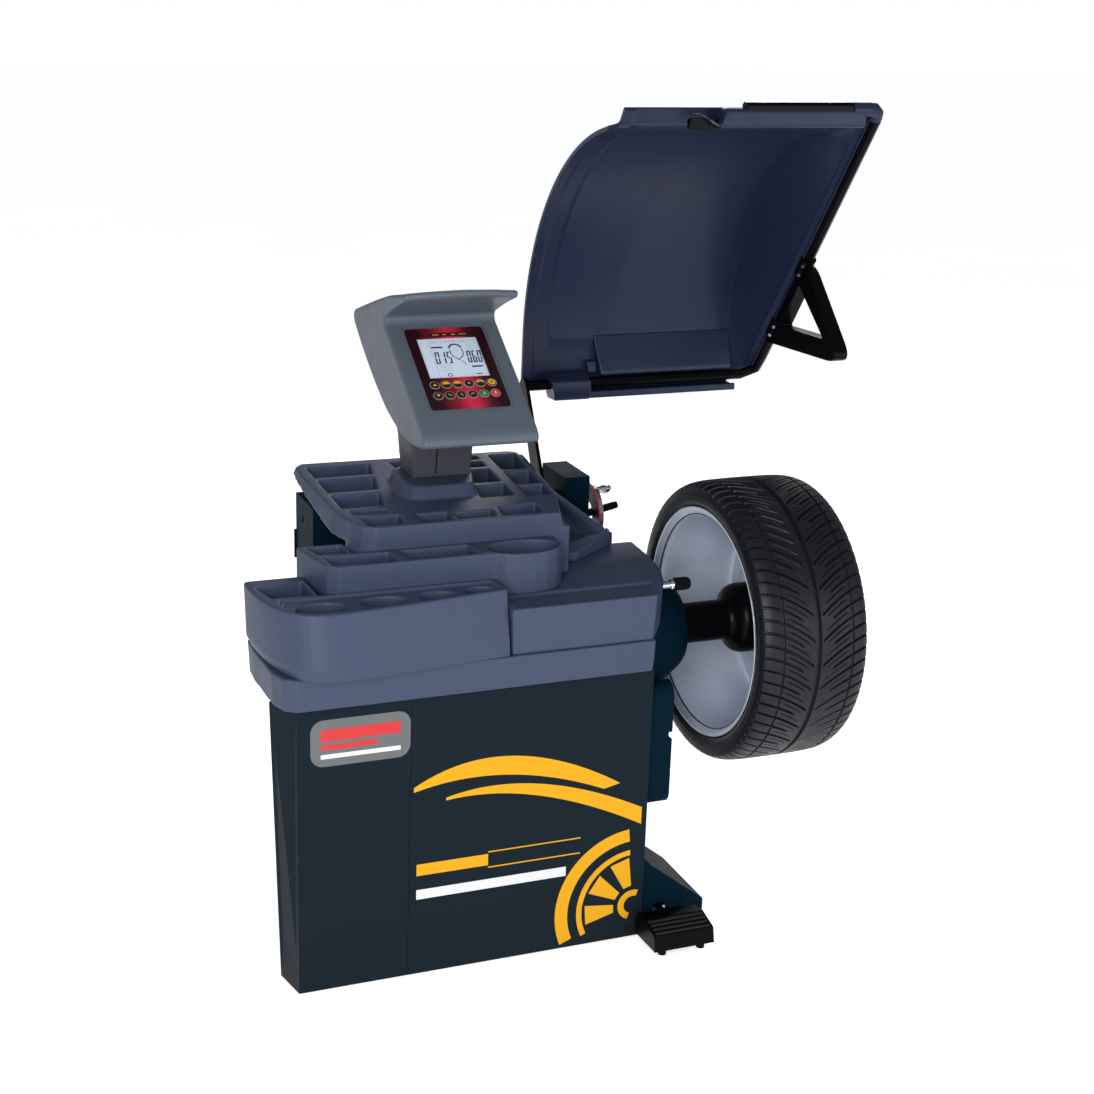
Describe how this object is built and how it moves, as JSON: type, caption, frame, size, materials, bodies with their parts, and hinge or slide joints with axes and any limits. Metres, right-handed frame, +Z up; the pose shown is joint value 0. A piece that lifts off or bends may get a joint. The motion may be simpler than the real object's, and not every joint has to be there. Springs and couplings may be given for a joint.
{
  "type": "wheel balancer machine",
  "caption": "Floor-standing wheel balancer with a sheet-steel cabinet, stepped weight trays, tilted display head, raised curved wheel guard and a wheel clamped on its spindle.",
  "frame": {"origin": "middle of the bounding box, on the floor", "axes": "+X along the spindle towards the wheel (the operator's right), +Y from the operator to the back, +Z up"},
  "size_m": [1.378, 0.848, 1.7054],
  "materials": {
    "cabinet_black": "satin, almost black with a blue cast",
    "cabinet_teal": "satin dark teal",
    "tray_grey": "fine grained blue-grey moulding",
    "head_grey": "fine grained warm grey moulding",
    "guard_blue": "dark navy moulding, soft sheen",
    "black_metal": "semi-gloss black",
    "black_plastic": "satin black",
    "steel": "turned and ground steel",
    "rim_alloy": "brushed disc with a polished flange",
    "rubber": "dull black",
    "tyre": "tread rubber",
    "board_green": "circuit board",
    "membrane_red": "printed membrane, bright middle and dark sides",
    "screen": "pale liquid crystal display",
    "key_dark": "round membrane key",
    "key_green": "round membrane key",
    "key_red": "round membrane key"
  },
  "bodies": {
    "cabinet": {"front_panel": "cabinet_black", "column": "cabinet_teal", "rear_housing": "cabinet_teal", "outrigger": "cabinet_teal", "foot_front_left": "rubber", "foot_front_right": "rubber", "foot_rear_left": "rubber", "foot_rear_right": "rubber", "side_cover": "cabinet_teal", "spindle_cover": "cabinet_teal", "tray_skirt": "tray_grey", "front_tray": "tray_grey", "deck_cover": "tray_grey", "middle_tray": "tray_grey", "upper_tray": "tray_grey", "display_neck": "head_grey", "spindle_housing": "black_metal", "bearing_rear": "steel", "bearing_front": "steel", "drive_motor": "black_metal", "drive_belt": "rubber", "hinge_box": "cabinet_teal", "storage_peg": "black_metal", "adaptor_flange": "steel", "control_board": "board_green", "power_inlet": "black_plastic", "display_housing": "head_grey", "keypad_panel": "membrane_red", "lcd_screen": "screen", "display_board": "board_green"},
    "guard": {"guard_shaft": "steel", "guard_arm": "black_metal", "guard_tube": "black_metal", "guard_shell": "guard_blue", "guard_bracket": "black_metal"},
    "spindle": {"spindle_shaft": "steel", "spindle_flange": "black_metal", "drive_pulley": "rim_alloy", "wheel_rim": "rim_alloy", "tyre": "tyre", "centring_cone": "steel"},
    "quick_nut": {"quick_nut": "black_metal"},
    "motor_pulley": {"motor_pulley": "rim_alloy"},
    "gauge_slide": {"gauge_carriage": "rim_alloy"},
    "gauge_arm": {"gauge_rod": "steel", "gauge_knob": "black_plastic"},
    "brake_pedal": {"brake_pedal": "black_metal"},
    "main_switch": {"main_switch": "key_red"},
    "key_01": {"key_01": "key_dark"},
    "key_02": {"key_02": "key_dark"},
    "key_03": {"key_03": "key_dark"},
    "key_04": {"key_04": "key_dark"},
    "key_05": {"key_05": "key_dark"},
    "key_06": {"key_06": "key_dark"},
    "key_07": {"key_07": "key_dark"},
    "key_08": {"key_08": "key_dark"},
    "key_09": {"key_09": "key_dark"},
    "key_10": {"key_10": "key_dark"},
    "key_11": {"key_11": "key_green"},
    "key_12": {"key_12": "key_red"}
  },
  "joints": [
    {"name": "guard_hinge", "type": "hinge", "parent": "cabinet", "child": "guard", "pos_m": [0.119, 0.268, 0.815], "axis": [1, 0, 0], "range_deg": [0, 70]},
    {"name": "spindle_turn", "type": "hinge", "parent": "cabinet", "child": "spindle", "pos_m": [0.109, -0.123, 0.628], "axis": [1, 0, 0], "continuous": true},
    {"name": "quick_nut_slide", "type": "slide", "parent": "spindle", "child": "quick_nut", "axis": [1, 0, 0], "range_m": [0, 0.085]},
    {"name": "motor_pulley_turn", "type": "hinge", "parent": "cabinet", "child": "motor_pulley", "pos_m": [-0.357, 0.108, 0.5], "axis": [1, 0, 0], "continuous": true},
    {"name": "gauge_slide", "type": "slide", "parent": "cabinet", "child": "gauge_slide", "axis": [1, 0, 0], "range_m": [0, 0.18], "stiffness_N_per_m": 25},
    {"name": "gauge_turn", "type": "hinge", "parent": "gauge_slide", "child": "gauge_arm", "pos_m": [0.009, -0.214, 0.752], "axis": [1, 0, 0], "range_deg": [-90, 90]},
    {"name": "brake_pedal_turn", "type": "hinge", "parent": "cabinet", "child": "brake_pedal", "pos_m": [0.154, -0.252, 0.048], "axis": [1, 0, 0], "range_deg": [0, 5], "stiffness_Nm_per_rad": 60, "springref_deg": -9.74},
    {"name": "main_switch_rock", "type": "hinge", "parent": "cabinet", "child": "main_switch", "pos_m": [-0.381, 0.308, 0.74], "axis": [1, 0, 0], "range_deg": [-8, 8]},
    {"name": "key_01_press", "type": "slide", "parent": "cabinet", "child": "key_01", "axis": [0, 0.558, -0.8298], "range_m": [0, 0.0012], "stiffness_N_per_m": 300},
    {"name": "key_02_press", "type": "slide", "parent": "cabinet", "child": "key_02", "axis": [0, 0.558, -0.8298], "range_m": [0, 0.0012], "stiffness_N_per_m": 300},
    {"name": "key_03_press", "type": "slide", "parent": "cabinet", "child": "key_03", "axis": [0, 0.558, -0.8298], "range_m": [0, 0.0012], "stiffness_N_per_m": 300},
    {"name": "key_04_press", "type": "slide", "parent": "cabinet", "child": "key_04", "axis": [0, 0.558, -0.8298], "range_m": [0, 0.0012], "stiffness_N_per_m": 300},
    {"name": "key_05_press", "type": "slide", "parent": "cabinet", "child": "key_05", "axis": [0, 0.558, -0.8298], "range_m": [0, 0.0012], "stiffness_N_per_m": 300},
    {"name": "key_06_press", "type": "slide", "parent": "cabinet", "child": "key_06", "axis": [0, 0.558, -0.8298], "range_m": [0, 0.0012], "stiffness_N_per_m": 300},
    {"name": "key_07_press", "type": "slide", "parent": "cabinet", "child": "key_07", "axis": [0, 0.558, -0.8298], "range_m": [0, 0.0012], "stiffness_N_per_m": 300},
    {"name": "key_08_press", "type": "slide", "parent": "cabinet", "child": "key_08", "axis": [0, 0.558, -0.8298], "range_m": [0, 0.0012], "stiffness_N_per_m": 300},
    {"name": "key_09_press", "type": "slide", "parent": "cabinet", "child": "key_09", "axis": [0, 0.558, -0.8298], "range_m": [0, 0.0012], "stiffness_N_per_m": 300},
    {"name": "key_10_press", "type": "slide", "parent": "cabinet", "child": "key_10", "axis": [0, 0.558, -0.8298], "range_m": [0, 0.0012], "stiffness_N_per_m": 300},
    {"name": "key_11_press", "type": "slide", "parent": "cabinet", "child": "key_11", "axis": [0, 0.558, -0.8298], "range_m": [0, 0.0012], "stiffness_N_per_m": 300},
    {"name": "key_12_press", "type": "slide", "parent": "cabinet", "child": "key_12", "axis": [0, 0.558, -0.8298], "range_m": [0, 0.0012], "stiffness_N_per_m": 300}
  ],
  "couplings": [
    {"joint": "motor_pulley_turn", "follows": "spindle_turn", "ratio": 1.75}
  ]
}
